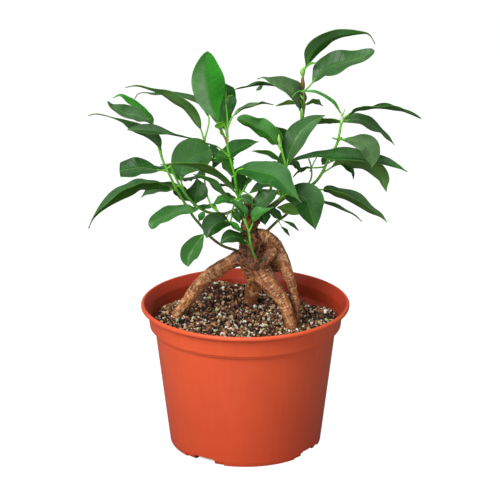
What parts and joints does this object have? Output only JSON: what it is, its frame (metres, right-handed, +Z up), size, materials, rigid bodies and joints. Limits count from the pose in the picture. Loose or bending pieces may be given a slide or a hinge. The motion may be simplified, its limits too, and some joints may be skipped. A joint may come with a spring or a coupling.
{
  "type": "potted ginseng ficus",
  "caption": "Small ginseng ficus with swollen arching roots and glossy pointed leaves, standing in a round plastic grower's pot filled with soil.",
  "frame": {"origin": "centre of the pot's round foot, on the surface that the pot stands on", "axes": "+Z up along the pot's axis, -Y towards the viewer of the picture, +X to the viewer's right"},
  "size_m": [0.2457, 0.1843, 0.324],
  "materials": {
    "pot_plastic": "satin terracotta-coloured plastic",
    "potting_soil": "loose brown bark and peat crumbs with pale grains",
    "bark": "smooth brown bark with pale cross rings",
    "leaf": "glossy dark green leaf"
  },
  "bodies": {
    "root": {"pot": "pot_plastic", "soil": "potting_soil", "root_trunk": "bark", "shoot_centre": "leaf", "shoot_middle": "leaf", "shoot_right": "leaf", "shoot_high_right": "leaf", "shoot_left": "leaf", "shoot_left_front": "leaf", "shoot_front": "leaf", "shoot_back": "leaf"}
  },
  "joints": []
}
